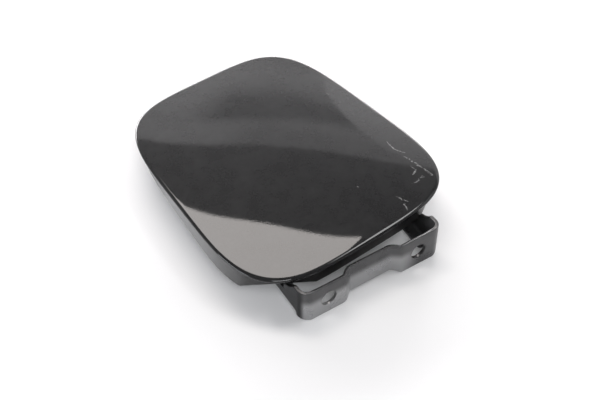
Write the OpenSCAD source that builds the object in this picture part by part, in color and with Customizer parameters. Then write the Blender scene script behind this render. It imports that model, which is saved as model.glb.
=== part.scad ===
// Car fuel door with its hinge bracket, shown fully open.
// Millimetres. The origin is midway between the two bolt holes, on the face of
// the bracket that seats on the car. X runs along the hinge, Y from the bracket
// towards the latch, Z out of the painted face.

/* [Door outline] */
// Width of the painted skin along the hinge
door_w = 132.4; // [120:0.2:150]
// Length of the painted skin from hinge edge to latch edge
door_l = 160.75; // [150:0.25:180]
// Distance from the bracket's seating face to the hinge edge
hinge_gap = 10.75; // [10:0.25:12]
// Sideways offset of the door from the middle of the bracket
door_shift = 1.6; // [-5:0.2:5]
// How square the corners are at the latch end, 2 is an ellipse
latch_power = 4.2; // [3:0.1:6]
// How square the corners are at the hinge end
hinge_power = 4; // [3:0.1:6]
// How much narrower the latch end is than the hinge end
door_taper = 0.078; // [0:0.002:0.12]
// Slant of the hinge and latch edges
door_skew = 0.042; // [0:0.005:0.08]
// Turn of the door about Z, degrees
door_turn = 2.6; // [0:0.2:5]

/* [Outer skin] */
// Height of the rim's shoulder above the bolt holes
shoulder_z = 13; // [12:0.5:16]
// Rise of the crown over the shoulder
crown_h = 4.5; // [2:0.25:8]
// Thickness of the steel skin
skin_t = 0.8; // [0.6:0.1:1]
// Radius of the rolled edge
edge_r = 1.4; // [1.2:0.1:2]
// Depth of the hem below the shoulder
hem_drop = 2.7; // [2.6:0.1:4]
// Width of the hem's fold
hem_w = 1.4; // [1.4:0.1:2]
// Width of the sealed seam between the hem and the panel's wall
seam_w = 0.5; // [0.4:0.1:1.5]

/* [Inner panel] */
// Thickness of the inner panel
panel_t = 0.8; // [0.6:0.1:1]
// Distance from the shoulder down to the panel's underside
panel_drop = 12.2; // [12:0.1:12.6]
// How much wider the seam is at the hinge and latch edges
end_step = 0.6; // [0:0.1:1.5]
// Share by which the panel is wider at its floor than at its flange
floor_flare = 0.015; // [0:0.005:0.02]
// Share by which the panel's floor narrows further towards the latch
floor_taper = 0.045; // [0:0.005:0.05]
// Angle between the corner cuts and the hinge edge
cut_angle = 32; // [30:1:45]
// Depth of the cuts across the panel's corners at the hinge end
cut_depth = 2; // [0.5:0.25:4]
// Radius between the panel's wall and floor
floor_r = 1.2; // [1:0.1:3]
// Rise of the pressed recess
recess_h = 7; // [3:0.5:8]
// Size of the pressed recess along the hinge
recess_w = 88; // [60:1:92]
// Size of the pressed recess towards the latch
recess_l = 62; // [40:1:66]
// Distance between the recess and the striker's strap
recess_gap = 12.5; // [10:0.5:15]
// Distance of the drain holes from the recess
drain_gap = 8; // [6:0.5:9]
// Diameter of the drain holes
drain_d = 7; // [4:0.5:9]

/* [Hinge bracket] */
// Overall width of the U
bracket_w = 87; // [82:1:92]
// Height of the web
bracket_h = 20; // [18:0.5:22]
// Thickness of the bracket's sheet
bracket_t = 2; // [1.5:0.1:2.2]
// Outside radius of the bends between web and arms
bend_r = 6; // [4:0.5:7]
// Distance between the bolt holes
bolt_span = 56; // [50:1:58]
// Diameter of the bolt holes
bolt_hole_d = 9; // [6.5:0.5:10]
// How far the middle of the web is set back from the pads
joggle = 3.6; // [2:0.2:4]
// Half of the distance between the two pads
pad_gap = 17; // [14:0.5:19]
// How much the middle of the web is relieved at its lower edge
web_relief = 1.8; // [0:0.2:3]
// Distance from the seating face to the hinge pin
arm_l = 37; // [35:0.5:40]
// Radius of the arms' ends round the pin
arm_end_r = 4; // [3.6:0.1:4.2]
// Width of the stiffening lips under the arms
lip_w = 8.5; // [5:0.5:9]
// Outside radius of the lips' bend
lip_r = 3.6; // [2.5:0.1:4]

/* [Hinge] */
// Diameter of the hinge pin
pin_d = 4; // [3:0.25:4.5]
// Height of the pin above the bolt holes
pin_z = -3.6; // [-4.5:0.1:-3.5]
// Diameter of the pin's head
pin_head_d = 7; // [6:0.25:8]
// Thickness of the pin's head
pin_head_t = 1.4; // [1:0.1:2]
// Wall of the plastic pivot bushes
bush_wall = 0.8; // [0.6:0.1:1]
// Thickness of the hinge leaf
leaf_t = 1.5; // [1.2:0.1:1.8]
// Distance between each arm and the leaf's ear beside it
ear_gap = 3; // [2.5:0.25:6]
// Length of the leaf from the pin towards the latch
leaf_l = 25; // [20:1:28]
// Running clearance round the pin
pin_fit = 0.04; // [0.02:0.01:0.08]

/* [Return spring] */
// Wire diameter of the spring
wire_d = 1.1; // [0.8:0.1:1.2]
// Number of turns in the coil
coil_turns = 7; // [4:1:9]
// Gap between the coil and the pin
coil_gap = 0.4; // [0.3:0.05:0.5]
// Length of the coil along the pin
coil_l = 14; // [11:1:18]

/* [Latch and buffers] */
// Distance from the latch edge in to the striker
latch_margin = 19.5; // [17:0.5:25]
// Width of the striker's loop inside
striker_w = 14; // [10:0.5:18]
// Diameter of the striker's wire
striker_d = 4; // [3.5:0.1:4.5]
// Length of the strap that carries the striker
strap_l = 15; // [12:0.5:18]
// Diameter of the rubber buffers
buffer_d = 12; // [9:0.5:14]
// Height of the buffers under the panel
buffer_h = 6; // [4:0.5:8]
// Distance between the two buffers
buffer_span = 84; // [70:1:90]

/* [Hidden] */
$fn = 48;
segs = 64;
seat = 0.02;
door_y = hinge_gap + door_l / 2;
paint = [0.06, 0.06, 0.065];
satin = [0.13, 0.13, 0.135];
zinc = [0.62, 0.62, 0.6];
rubber = [0.05, 0.05, 0.05];

// Heights of the sheets, from the outside in
hem_z = shoulder_z - hem_drop;
flange_z = hem_z + skin_t + seat;
floor_z = shoulder_z - panel_drop;
bottom_z = -bracket_h / 2;
fold_r = (2 * skin_t + panel_t) / 2;
wall_inset = hem_w + seam_w;
// Distance of the corner cuts from the door's middle
cut_power = hinge_power / (hinge_power - 1);
cut_reach = pow(pow((door_w / 2 - wall_inset) * sin(cut_angle), cut_power)
                + pow((door_l / 2 - wall_inset) * cos(cut_angle), cut_power), 1 / cut_power)
            - cut_depth;
// Hinge fits, from the pin outwards
pin_r = pin_d / 2;
bush_in_r = pin_r + pin_fit;
bush_out_r = bush_in_r + bush_wall;
ear_hole_r = bush_out_r + seat;
ear_r = ear_hole_r + 1.3;
arm_in_x = bracket_w / 2 - bracket_t;
ear_x = arm_in_x - ear_gap;
leaf_w = 2 * ear_x;
leaf_front = 8;
leaf_end_y = arm_l + leaf_l;
leaf_under_z = floor_z - leaf_t;
coil_r = pin_r + coil_gap + wire_d / 2;
// Lips under the arms, and the place where the arms pass under the panel
lip_start = bend_r + 1;
lip_end = arm_l - 3 * arm_end_r;
lip_start_z = bottom_z + 1;
lip_end_z = pin_z - arm_end_r + 0.8;
lip_rise = (lip_end_z - lip_start_z) / (lip_end - lip_start);
lip_angle = atan(lip_rise);
neck_y = hinge_gap + wall_inset + end_step + 5;
// Spring beside the left ear
coil_x = -leaf_w / 2 + leaf_t + wire_d / 2 + 0.5;
// Latch end
striker_y = hinge_gap + door_l - latch_margin;
recess_y = striker_y - strap_l / 2 - recess_gap - recess_l / 2;
strap_t = 1.5;
strap_under_z = floor_z - strap_t;
striker_x = (striker_w + striker_d) / 2;
rivet_r = 1.6;
rivet_x = striker_x + striker_d / 2 + 3 * rivet_r;
buffer_neck_r = 3;

// Place on the rounded square at an angle, in units of its half size
function squircle(a) =
  let (c = cos(a), s = sin(a), n = s < 0 ? hinge_power : latch_power,
       r = pow(pow(abs(c), n) + pow(abs(s), n), 1 / n))
  [c / r, s / r];

// Turn a place on the rounded square into a point of the door's outline
function place(p, inset) =
  let (x = (door_w / 2 - inset) * p[0] * (1 - door_taper * p[1]),
       y = (door_l / 2 - inset) * p[1])
  [x, y + door_skew * x];

function skin_point(a, inset) = place(squircle(a), inset);

// The panel's outline spreads from the flange, 0, to the floor, 1, with its corners cut
function panel_point(a, inset, low) =
  let (q = squircle(a),
       wider = 1 + (floor_flare - floor_taper * q[1]) * low,
       shorter = 1 - end_step / (door_l / 2 - inset),
       p = place([q[0] * wider, q[1] * shorter], inset),
       side = p[0] < 0 ? -1 : 1,
       out = p * [side * sin(cut_angle), -cos(cut_angle)],
       k = min(1, (cut_reach + wall_inset - inset) / max(out, 1)))
  p * k;

function skin_ring(inset, z) =
  [for (i = [0:segs - 1]) let (p = skin_point(i * 360 / segs, inset)) [p[0], p[1], z]];

// Height of the skin's outer face at a share of the way from middle to shoulder
function crown(k, a) =
  let (p = squircle(a), wide = p * p)
  shoulder_z + crown_h * (1 - wide * k * k + (wide - 1) * pow(k, 4));

// A ring on the crowned face, or a sheet's thickness below it
function crown_ring(k, below = 0) =
  [for (i = [0:segs - 1])
    let (a = i * 360 / segs, p = skin_point(a, edge_r) * k)
    [p[0], p[1], crown(k, a) - below]];

function panel_ring(inset, z, low, k = 1) =
  [for (i = [0:segs - 1])
    let (p = panel_point(i * 360 / segs, inset, low) * k) [p[0], p[1], z]];

// The panel's wall between its floor's rounding and the flange, moved out by a gap
function wall_ring(gap, z) =
  let (wall_z = floor_z + floor_r, t = (z - wall_z) / (flange_z - wall_z))
  [for (i = [0:segs - 1])
    let (a = i * 360 / segs, inset = wall_inset - gap,
         p = (1 - t) * panel_point(a, inset, 1) + t * panel_point(a, inset, 0))
    [p[0], p[1], z]];

function quad(a, b, c, d) = [[a, b, c], [a, c, d]];

// Skin a stack of rings that starts and ends on the middle line
module closed_loft(rings, z_first, z_last) {
  n = len(rings);
  points = concat([for (r = rings) each r], [[0, 0, z_first], [0, 0, z_last]]);
  sides = [for (r = [0:n - 2], i = [0:segs - 1])
    let (j = (i + 1) % segs)
    each quad(r * segs + i, r * segs + j, (r + 1) * segs + j, (r + 1) * segs + i)];
  first = [for (i = [0:segs - 1]) [n * segs, (i + 1) % segs, i]];
  last = [for (i = [0:segs - 1])
    [(n - 1) * segs + i, (n - 1) * segs + (i + 1) % segs, n * segs + 1]];
  polyhedron(points, concat(sides, first, last));
}

// Skin a stack of rings that closes on itself
module ring_loft(rings) {
  n = len(rings);
  points = [for (r = rings) each r];
  sides = [for (r = [0:n - 1], i = [0:segs - 1])
    let (j = (i + 1) % segs, q = (r + 1) % n)
    each quad(r * segs + i, r * segs + j, q * segs + j, q * segs + i)];
  polyhedron(points, sides);
}

module in_door() {
  translate([door_shift, door_y, 0])
    rotate([0, 0, door_turn])
      children();
}

module rounded_plate(w, l, r, h) {
  linear_extrude(h)
    hull()
      for (x = [-1, 1], y = [-1, 1])
        translate([x * (w / 2 - r), y * (l / 2 - r)])
          circle(r, $fn = 32);
}

// A drawing in the YZ plane, swept along X and centred on it
module along_x(width) {
  translate([-width / 2, 0, 0])
    rotate([90, 0, 90])
      linear_extrude(width)
        children();
}

// Height of the skin's outer face over a place near the middle, with some to spare
function crown_over(x, y) =
  let (spare = 1.06, u = 2 * spare * abs(x) / door_w, v = 2 * spare * abs(y) / door_l)
  shoulder_z + crown_h * max(0, 1 - u * u - v * v);

// Crowned steel pressing, rolled at its edge and folded back under as a hem
module outer_skin() {
  roll = [for (a = [67.5, 45, 22.5, 0])
    [edge_r * (1 - cos(a)), shoulder_z - edge_r * (1 - sin(a))]];
  fold = [for (a = [30, 60, 90]) [fold_r * (1 - cos(a)), hem_z + fold_r * (1 - sin(a))]];
  inner_fold = [for (a = [90, 45])
    let (r = fold_r - skin_t)
    [fold_r - r * cos(a), hem_z + fold_r - r * sin(a)]];
  inner_roll = [for (a = [0, 45])
    let (r = edge_r - skin_t)
    [edge_r - r * cos(a), shoulder_z - edge_r + r * sin(a)]];
  rings = concat(
    [for (k = [0.2, 0.4, 0.55, 0.7, 0.82, 0.92, 1]) crown_ring(k)],
    [for (p = roll) skin_ring(p[0], p[1])],
    [skin_ring(0, hem_z + fold_r)],
    [for (p = fold) skin_ring(p[0], p[1])],
    [skin_ring(hem_w, hem_z), skin_ring(hem_w, hem_z + skin_t)],
    [for (p = inner_fold) skin_ring(p[0], p[1])],
    [skin_ring(skin_t, hem_z + fold_r)],
    [for (p = inner_roll) skin_ring(p[0], p[1])],
    [for (k = [1, 0.85, 0.7, 0.5, 0.25]) crown_ring(k, skin_t)]
  );
  color(paint)
    in_door()
      closed_loft(rings, crown(0, 0), crown(0, 0) - skin_t);
}

// Tray pressed from one sheet: floor, rounded corner, wall and hem flange
module panel_tray() {
  top_z = flange_z + panel_t;
  flange_in = fold_r + 0.2;
  floor_in = wall_inset + floor_r;
  rings = concat(
    [panel_ring(floor_in, floor_z + panel_t, 1, 0.6)],
    [for (a = [90, 60, 30, 0])
      let (r = floor_r - panel_t)
      panel_ring(floor_in - r * cos(a), floor_z + floor_r - r * sin(a), 1)],
    [panel_ring(wall_inset + panel_t, top_z - 0.6, 0.2)],
    [panel_ring(wall_inset + panel_t / 2, top_z, 0)],
    [skin_ring(flange_in, top_z), skin_ring(flange_in, flange_z)],
    [panel_ring(wall_inset, flange_z, 0)],
    [for (a = [0, 30, 60, 90])
      panel_ring(floor_in - floor_r * cos(a), floor_z + floor_r - floor_r * sin(a), 1)],
    [panel_ring(floor_in, floor_z, 1, 0.6)]
  );
  closed_loft(rings, floor_z + panel_t, floor_z);
}

// The pressed recess that stiffens the floor, grown by a sheet's thickness
module recess(grow) {
  slope = recess_h * 0.57;
  corner = recess_l / 5;
  under = 1;
  translate([0, recess_y - door_y, floor_z - under])
    hull() {
      rounded_plate(recess_w + 2 * grow, recess_l + 2 * grow, corner + grow, under);
      translate([0, 0, recess_h + grow])
        rounded_plate(recess_w - 2 * slope + 2 * grow, recess_l - 2 * slope + 2 * grow,
                      corner - slope + grow, under);
    }
}

module panel_holes() {
  through = 4;
  in_door()
    for (x = [-1, 1], y = [-1, 1])
      translate([x * (recess_w / 2 + drain_gap), recess_y - door_y + y * recess_l / 2,
                 floor_z - through / 2])
        cylinder(d = drain_d, h = through);
  at_rivets()
    translate([0, 0, floor_z - through / 2])
      cylinder(r = rivet_r + 0.1, h = through);
  at_buffers()
    translate([0, 0, floor_z - through / 2])
      cylinder(r = buffer_neck_r + 0.1, h = through);
}

module inner_panel() {
  color(paint)
    difference() {
      in_door()
        difference() {
          union() {
            panel_tray();
            intersection() {
              recess(panel_t);
              translate([-door_w / 2, -door_l / 2, floor_z])
                cube([door_w, door_l, panel_drop]);
            }
          }
          recess(0);
        }
      panel_holes();
    }
}

// Bead that closes the corner between the hem's fold and the panel's wall
module seam_sealer() {
  outer_in = hem_w + seat;
  top_z = flange_z - seat;
  color(satin)
    in_door()
      ring_loft([wall_ring(2 * seat, top_z), skin_ring(outer_in, top_z),
                 skin_ring(outer_in, hem_z + 0.1), wall_ring(2 * seat, hem_z - 0.4)]);
}

// Soft dabs that keep the skin from drumming on the panel
module mastic_pads() {
  base_z = floor_z + recess_h + panel_t;
  foot_r = 7;
  top_r = 5;
  mid_y = recess_y - door_y;
  color(rubber)
    in_door()
      for (p = [[0, 0], [-1, -1], [1, -1], [1, 1], [-1, 1]])
        let (x = p[0] * recess_w * 0.32, y = mid_y + p[1] * recess_l * 0.3,
             under_z = crown_over(abs(x) + top_r, abs(y) + top_r) - skin_t)
        translate([x, y, base_z])
          cylinder(r1 = foot_r, r2 = top_r, h = under_z - 0.1 - base_z);
}

// Plan of the bracket: a web with two pads, two bends and two arms
module bracket_plan() {
  half = bracket_w / 2;
  web_x = half - bend_r;
  ramp = 4.5;
  lean = bracket_t * tan(atan(joggle / ramp) / 2);
  foot = pad_gap - ramp;
  t = bracket_t;
  polygon([[-web_x, 0], [-pad_gap, 0], [-foot, joggle], [foot, joggle], [pad_gap, 0],
           [web_x, 0], [web_x, t], [pad_gap + lean, t], [foot + lean, joggle + t],
           [-foot - lean, joggle + t], [-pad_gap - lean, t], [-web_x, t]]);
  for (side = [0, 1])
    mirror([side, 0]) {
      intersection() {
        translate([web_x, bend_r])
          difference() {
            circle(bend_r);
            circle(bend_r - t);
          }
        translate([web_x, 0])
          square([bend_r, bend_r]);
      }
      translate([half - t, bend_r])
        square([t, arm_l + arm_end_r - bend_r]);
    }
}

// Side of the bracket: full height at the web, scooped to pass under the panel
module arm_side() {
  top_z = bracket_h / 2;
  arm_top_z = pin_z + arm_end_r;
  difference() {
    polygon([[-1, bottom_z], [bend_r / 4, bottom_z], [lip_start, lip_start_z],
             [lip_end, lip_end_z], [arm_l, lip_end_z], [arm_l, arm_top_z],
             [neck_y, arm_top_z], [neck_y - 1, top_z - 5.2], [neck_y - 4, top_z - 4.3],
             [neck_y - 6, top_z - 3.2], [neck_y - 7.7, top_z - 1.5], [neck_y - 8.7, top_z - 0.3],
             [neck_y - 9.7, top_z], [-1, top_z]]);
    polygon([[lip_start, bottom_z - 1], [lip_end, bottom_z - 1],
             [lip_end, lip_end_z + lip_r], [lip_start, lip_start_z + lip_r]]);
  }
  translate([arm_l, pin_z])
    circle(arm_end_r);
}

// The relief in the web's lower edge, between the pads
module web_cut() {
  rise = 3;
  below = 1;
  translate([0, bend_r, 0])
    rotate([90, 0, 0])
      linear_extrude(2 * bend_r)
        polygon([[-pad_gap - rise, bottom_z - below], [-pad_gap - rise / 2, bottom_z],
                 [-pad_gap + rise, bottom_z + web_relief], [pad_gap - rise, bottom_z + web_relief],
                 [pad_gap + rise / 2, bottom_z], [pad_gap + rise, bottom_z - below]]);
}

// Lip turned in along the lower edge of an arm, drawn for the right arm
module arm_lip() {
  half = bracket_w / 2;
  length = (lip_end - lip_start) / cos(lip_angle);
  translate([0, lip_start, lip_start_z])
    rotate([lip_angle, 0, 0])
      translate([0, length, 0])
        rotate([90, 0, 0])
          linear_extrude(length) {
            intersection() {
              translate([half - lip_r, lip_r])
                difference() {
                  circle(lip_r);
                  circle(lip_r - bracket_t);
                }
              translate([half - lip_r, 0])
                square([lip_r, lip_r]);
            }
            translate([half - bracket_t, lip_r - seat])
              square([bracket_t, 1]);
            translate([half - lip_w, 0])
              square([lip_w - lip_r + seat, bracket_t]);
          }
}

// Stamped steel U that bolts to the car through its web and carries the pin
module hinge_bracket() {
  color(satin)
    difference() {
      union() {
        intersection() {
          translate([0, 0, bottom_z])
            linear_extrude(bracket_h)
              bracket_plan();
          along_x(bracket_w + 2)
            arm_side();
        }
        for (side = [0, 1])
          mirror([side, 0, 0])
            arm_lip();
      }
      web_cut();
      for (x = [-1, 1])
        translate([x * bolt_span / 2, -1, 0])
          rotate([-90, 0, 0])
            cylinder(d = bolt_hole_d, h = bracket_t + 3);
      along_pin(-bracket_w / 2 - 1, bracket_w + 2, pin_r + seat);
    }
}

// A cylinder on the pin's axis
module along_pin(x, length, r) {
  translate([x, arm_l, pin_z])
    rotate([0, 90, 0])
      cylinder(r = r, h = length);
}

// Steel pin, headed at one end and grooved for its ring at the other
module hinge_pin() {
  half = bracket_w / 2;
  ring_x = half + 0.4;
  color(zinc)
    difference() {
      union() {
        along_pin(-half - seat - pin_head_t, pin_head_t, pin_head_d / 2);
        along_pin(-half - seat - pin_head_t / 2, bracket_w + pin_head_t / 2 + 2.6, pin_r);
      }
      difference() {
        along_pin(ring_x, 0.9, pin_r + 1);
        along_pin(ring_x - 1, 3, pin_r - 0.5);
      }
    }
}

// Spring steel ring snapped into the pin's groove
module pin_ring() {
  ring_x = bracket_w / 2 + 0.4 + 0.1;
  color(zinc)
    difference() {
      along_pin(ring_x, 0.7, pin_r + 1.7);
      along_pin(ring_x - 1, 3, pin_r - 0.5 + seat);
      translate([ring_x - 1, arm_l - 1.2, pin_z - pin_r - 3])
        cube([3, 2.4, pin_r + 3]);
    }
}

// Shouldered plastic bushes pressed into the leaf's ears
module pivot_bushes() {
  side_play = 0.3;
  shoulder = ear_gap - side_play;
  color(rubber)
    for (side = [0, 1])
      mirror([side, 0, 0])
        difference() {
          union() {
            along_pin(ear_x - leaf_t - 0.4, leaf_t + 0.4 + seat, bush_out_r);
            along_pin(ear_x + seat, shoulder, bush_out_r + 1);
          }
          along_pin(ear_x - leaf_t - 2, leaf_t + shoulder + 4, bush_in_r);
        }
}

// Door side of the hinge: a plate welded to the panel, with two ears
module hinge_leaf() {
  front_y = arm_l - leaf_front;
  back_y = leaf_end_y;
  corner = leaf_l / 3;
  color(satin)
    difference() {
      union() {
        translate([0, 0, leaf_under_z])
          linear_extrude(leaf_t - seat)
            difference() {
              translate([-leaf_w / 2, front_y])
                square([leaf_w, back_y - front_y]);
              for (side = [0, 1])
                mirror([side, 0])
                  translate([leaf_w / 2 - corner, back_y - corner])
                    difference() {
                      square(corner + 1);
                      circle(corner);
                    }
              translate([coil_x - wire_d / 2 - 0.3, front_y - 1])
                square([coil_l + wire_d + 1, arm_l + coil_r + wire_d - front_y + 1]);
              translate([0, arm_l + leaf_l * 0.64])
                circle(d = leaf_l * 0.4);
            }
        for (side = [-1, 1])
          translate([side * (leaf_w - leaf_t) / 2, 0, 0])
            along_x(leaf_t)
              intersection() {
                union() {
                  translate([arm_l, pin_z])
                    circle(ear_r);
                  polygon([[arm_l - ear_r, pin_z], [arm_l + ear_r, pin_z],
                           [arm_l + ear_r + 2.5, leaf_under_z + 0.1],
                           [front_y, leaf_under_z + 0.1]]);
                }
                translate([0, bottom_z])
                  square([2 * arm_l, floor_z - seat - bottom_z]);
              }
      }
      along_pin(-leaf_w / 2 - 1, leaf_w + 2, ear_hole_r);
    }
}

// Points along the spring's wire, each with the direction that its turns face
function spring_path() =
  let (steps = 12, n = coil_turns * steps, foot_y = lip_end - 2,
       foot_z = lip_end_z - 2 * lip_rise + (bracket_t + wire_d / 2) / cos(lip_angle) + seat,
       rest_z = leaf_under_z - wire_d / 2 - seat, end_x = coil_x + coil_l)
  concat(
    [[[coil_x, foot_y, foot_z], [0, 0, 1]]],
    [for (i = [0:n])
      let (a = 90 - i * 360 / steps, x = coil_x + coil_l * i / n)
      [[x, arm_l + coil_r * cos(a), pin_z + coil_r * sin(a)], [0, cos(a), sin(a)]]],
    [[[end_x, arm_l + coil_r + wire_d, rest_z], [0, 0, 1]],
     [[end_x, arm_l + leaf_l * 0.5, rest_z], [0, 0, 1]]]
  );

// Wound torsion spring, one leg on the left arm's lip, the other under the leaf
module return_spring() {
  sides = 8;
  path = spring_path();
  n = len(path);
  ends = [for (i = [0:n - 1]) path[min(i + 1, n - 1)][0] - path[max(i - 1, 0)][0]];
  points = [for (i = [0:n - 1], s = [0:sides - 1])
    let (t = ends[i] / norm(ends[i]), u0 = path[i][1], u1 = u0 - t * (t * u0),
         u = u1 / norm(u1), v = cross(t, u), a = s * 360 / sides)
    path[i][0] + wire_d / 2 * (cos(a) * u + sin(a) * v)];
  walls = [for (i = [0:n - 2], s = [0:sides - 1])
    let (q = (s + 1) % sides)
    each quad(i * sides + s, (i + 1) * sides + s, (i + 1) * sides + q, i * sides + q)];
  caps = [[for (s = [0:sides - 1]) s],
          [for (s = [0:sides - 1]) n * sides - 1 - s]];
  color(zinc)
    polyhedron(points, concat(walls, caps));
}

module at_rivets() {
  for (x = [-1, 1])
    translate([x * rivet_x, striker_y, 0])
      children();
}

// Flat strap that carries the striker's loop
module striker_plate() {
  corner = strap_l / 3;
  width = 2 * (rivet_x + corner);
  color(satin)
    difference() {
      translate([0, striker_y, strap_under_z])
        linear_extrude(strap_t - seat)
          difference() {
            translate([-width / 2, -strap_l / 2])
              square([width, strap_l]);
            for (i = [0, 1], j = [0, 1])
              mirror([i, 0])
                mirror([0, j])
                  translate([width / 2 - corner, strap_l / 2 - corner])
                    difference() {
                      square(corner + 1);
                      circle(corner);
                    }
          }
      at_rivets()
        translate([0, 0, strap_under_z - 1])
          cylinder(r = rivet_r + seat, h = strap_t + 2);
      for (x = [-1, 1])
        translate([x * striker_x, striker_y, strap_under_z - 1])
          cylinder(d = striker_d + 2 * seat, h = strap_t + 2);
    }
}

// Round wire bent into the loop that the lock's hook catches
module striker_loop() {
  bend = striker_d * 0.8;
  bar_z = bottom_z + striker_d / 2;
  color(zinc) {
    for (side = [0, 1])
      mirror([side, 0, 0])
        translate([0, striker_y, 0]) {
          translate([striker_x, 0, bar_z + bend])
            cylinder(d = striker_d, h = floor_z - seat - bar_z - bend);
          translate([striker_x - bend, 0, bar_z + bend])
            rotate([-90, 0, 0])
              rotate_extrude(angle = 90)
                translate([bend, 0])
                  circle(d = striker_d);
        }
    translate([-striker_x + bend, striker_y, bar_z])
      rotate([0, 90, 0])
        cylinder(d = striker_d, h = 2 * (striker_x - bend));
  }
}

// Solid rivets that hold the striker's plate on the panel
module striker_rivets() {
  head_r = rivet_r * 2;
  head_t = 1.2;
  color(zinc)
    at_rivets() {
      translate([0, 0, strap_under_z])
        cylinder(r = rivet_r, h = floor_z + panel_t - strap_under_z + 0.5);
      translate([0, 0, strap_under_z - head_t - seat])
        cylinder(r1 = head_r * 0.6, r2 = head_r, h = head_t);
      translate([0, 0, floor_z + panel_t + seat])
        cylinder(r1 = head_r * 0.9, r2 = head_r * 0.6, h = 1);
    }
}

module at_buffers() {
  in_door()
    for (x = [-1, 1])
      translate([x * buffer_span / 2, striker_y - door_y - 4, 0])
        children();
}

// Turned profile of a push-in rubber buffer, in radius and height
module buffer_half() {
  r = buffer_d / 2;
  low = floor_z - buffer_h;
  under = floor_z - seat;
  over = floor_z + panel_t + seat;
  polygon([[0, low], [r * 0.55, low], [r * 0.75, low + 0.8], [r, under - 2], [r, under],
           [buffer_neck_r, under], [buffer_neck_r, over], [buffer_neck_r + 1.2, over],
           [buffer_neck_r + 1.2, over + 0.8], [buffer_neck_r * 0.6, over + 3], [0, over + 3]]);
}

// Rubber buffers pushed into the panel, which the shut door rests on
module rubber_buffers() {
  color(rubber)
    at_buffers()
      rotate_extrude()
        buffer_half();
}

outer_skin();
inner_panel();
seam_sealer();
mastic_pads();
hinge_leaf();
pivot_bushes();
hinge_bracket();
hinge_pin();
pin_ring();
return_spring();
striker_plate();
striker_loop();
striker_rivets();
rubber_buffers();
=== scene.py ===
import math

import bmesh
import bpy
import numpy as np
from mathutils import Matrix, Vector


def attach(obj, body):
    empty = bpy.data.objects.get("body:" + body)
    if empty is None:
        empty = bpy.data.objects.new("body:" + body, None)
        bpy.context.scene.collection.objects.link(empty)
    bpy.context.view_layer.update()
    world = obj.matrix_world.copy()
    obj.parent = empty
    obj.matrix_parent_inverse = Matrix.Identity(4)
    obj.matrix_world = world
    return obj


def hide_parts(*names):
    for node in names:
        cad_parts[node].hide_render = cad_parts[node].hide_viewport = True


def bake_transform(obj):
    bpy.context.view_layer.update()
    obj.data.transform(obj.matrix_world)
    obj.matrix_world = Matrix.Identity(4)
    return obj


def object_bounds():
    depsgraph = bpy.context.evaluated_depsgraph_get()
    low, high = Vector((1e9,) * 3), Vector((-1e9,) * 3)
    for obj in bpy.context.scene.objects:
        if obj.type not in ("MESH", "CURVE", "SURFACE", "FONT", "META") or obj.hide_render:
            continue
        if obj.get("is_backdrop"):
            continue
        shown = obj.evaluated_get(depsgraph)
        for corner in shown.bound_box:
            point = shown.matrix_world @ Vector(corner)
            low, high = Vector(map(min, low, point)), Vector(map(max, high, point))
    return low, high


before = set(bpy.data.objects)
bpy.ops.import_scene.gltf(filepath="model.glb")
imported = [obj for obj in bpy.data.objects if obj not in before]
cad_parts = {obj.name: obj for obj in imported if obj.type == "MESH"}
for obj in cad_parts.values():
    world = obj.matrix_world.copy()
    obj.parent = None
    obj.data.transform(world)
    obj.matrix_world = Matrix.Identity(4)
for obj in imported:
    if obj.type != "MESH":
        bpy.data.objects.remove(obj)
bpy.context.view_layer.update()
MM = 0.001

# Camera. The photograph looks down on the door at 45 degrees, from over its
# hinge end and a little to the left, with a moderate tele lens.
look_down, look_right = 45, 33.7
camera = bpy.data.objects.new("camera", bpy.data.cameras.new("camera"))
bpy.context.scene.collection.objects.link(camera)
camera.location = (-0.2223, -0.2652, 0.397)
camera.rotation_euler = (math.radians(look_down), 0, math.radians(-look_right))
camera.data.sensor_width = 36
camera.data.lens = 62.2
camera.data.clip_start = 0.01
camera.data.clip_end = 30
bpy.context.scene.camera = camera
bpy.context.scene.view_settings.view_transform = "Standard"

# Table top. A plain white board that the door lies on. From below it is clear,
# so that the object's underside can be looked at.
table_z, table_reach = -10 * MM, 9
table_white, table_shade = (0.88, 0.88, 0.88, 1), (0.86, 0.86, 0.865, 1)
table_lift = 0.04


def material(name):
    """A new material, its node tree and its surface shader."""
    made = bpy.data.materials.new(name)
    made.use_nodes = True
    return made, made.node_tree, made.node_tree.nodes["Principled BSDF"]


def node(tree, kind, **values):
    """A new node with its settings."""
    made = tree.nodes.new(kind)
    for key, value in values.items():
        setattr(made, key, value)
    return made


def set_inputs(made, **values):
    """Set a node's plain inputs by name, with _ in place of each blank."""
    for key, value in values.items():
        made.inputs[key.replace("_", " ")].default_value = value
    return made


def feed(tree, target, value):
    """Connect an input to another node's output, or give it a plain value."""
    if isinstance(value, bpy.types.NodeSocket):
        tree.links.new(value, target)
    else:
        target.default_value = value


def number(tree, operation, *values):
    """A calculation on numbers."""
    made = node(tree, "ShaderNodeMath", operation=operation)
    for target, value in zip(made.inputs, values):
        feed(tree, target, value)
    return made.outputs[0]


def mix_colours(tree, share, below, above):
    """A colour that turns into another one as the share rises."""
    made = node(tree, "ShaderNodeMix", data_type="RGBA")
    for i, value in ((0, share), (6, below), (7, above)):
        feed(tree, made.inputs[i], value)
    return made.outputs[2]


def noise(tree, scale, detail, place=None, roughness=0.5):
    """A cloudy pattern over a piece, its scale in waves a metre where it has a place."""
    made = set_inputs(node(tree, "ShaderNodeTexNoise"), Detail=detail, Roughness=roughness)
    feed(tree, made.inputs["Scale"], scale)
    if place:
        feed(tree, made.inputs["Vector"], place)
    return made.outputs


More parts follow.
